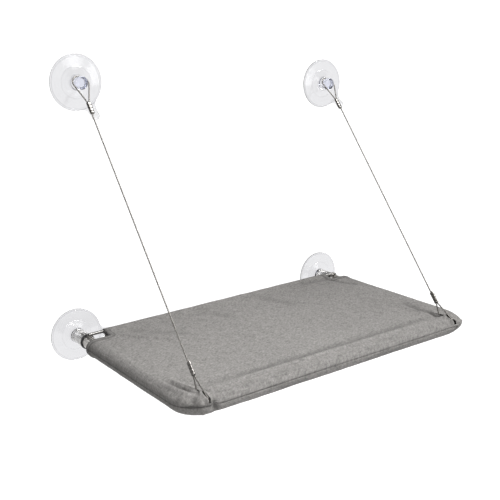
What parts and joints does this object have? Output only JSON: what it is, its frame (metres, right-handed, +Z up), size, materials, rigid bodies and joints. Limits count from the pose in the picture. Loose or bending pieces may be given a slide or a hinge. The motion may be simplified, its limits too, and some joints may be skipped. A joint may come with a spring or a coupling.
{
  "type": "window mounted cat perch",
  "caption": "Canvas cat bed on a bent steel tube frame, fixed to a window by clear suction cups below and hung from steel wires and clear suction cups above.",
  "frame": {"origin": "on the window's face, midway between the two lower suction cups, level with the axis of the frame tube", "axes": "+X to the right along the window as seen from the room, +Y into the window's glass, +Z up; the whole part lies at Y of zero or less"},
  "size_m": [0.6021, 0.3611, 0.492],
  "materials": {
    "tube_steel": "bright plated",
    "socket_steel": "satin plated",
    "ring_plastic": "matte",
    "canvas": "woven, warm grey",
    "clear_pvc": "clear, faintly lilac",
    "wire_steel": "twisted steel wire",
    "ferrule_metal": "satin"
  },
  "bodies": {
    "bed": {"frame_tube": "tube_steel", "rear_crossbar": "tube_steel", "socket_left": "socket_steel", "socket_right": "socket_steel", "socket_ring_left": "ring_plastic", "socket_ring_right": "ring_plastic", "cover_top_panel": "canvas", "cover_under_panel": "canvas", "cover_rod_pocket": "canvas"},
    "lower_left_suction": {"lower_cup_left": "clear_pvc"},
    "lower_right_suction": {"lower_cup_right": "clear_pvc"},
    "left_wire": {"cable_left": "wire_steel", "upper_ferrule_left": "ferrule_metal", "lower_ferrule_left": "ferrule_metal"},
    "right_wire": {"cable_right": "wire_steel", "upper_ferrule_right": "ferrule_metal", "lower_ferrule_right": "ferrule_metal"},
    "upper_left_suction": {"upper_cup_left": "clear_pvc"},
    "upper_right_suction": {"upper_cup_right": "clear_pvc"}
  },
  "joints": [
    {"name": "lower_left_cup_turn", "type": "hinge", "parent": "bed", "child": "lower_left_suction", "pos_m": [-0.2475, 0, 0], "axis": [0, 1, 0], "continuous": true},
    {"name": "lower_right_cup_turn", "type": "hinge", "parent": "bed", "child": "lower_right_suction", "pos_m": [0.2475, 0, 0], "axis": [0, 1, 0], "continuous": true},
    {"name": "left_wire_swing", "type": "hinge", "parent": "bed", "child": "left_wire", "pos_m": [-0.22627, -0.34496, 0], "axis": [1, 0, 0], "range_deg": [0, 45]},
    {"name": "right_wire_swing", "type": "hinge", "parent": "bed", "child": "right_wire", "pos_m": [0.22627, -0.34496, 0], "axis": [1, 0, 0], "range_deg": [0, 45]},
    {"name": "upper_left_cup_turn", "type": "hinge", "parent": "left_wire", "child": "upper_left_suction", "pos_m": [-0.21227, 0, 0.391], "axis": [0, 1, 0], "continuous": true},
    {"name": "upper_right_cup_turn", "type": "hinge", "parent": "right_wire", "child": "upper_right_suction", "pos_m": [0.26327, 0, 0.355], "axis": [0, 1, 0], "continuous": true}
  ]
}
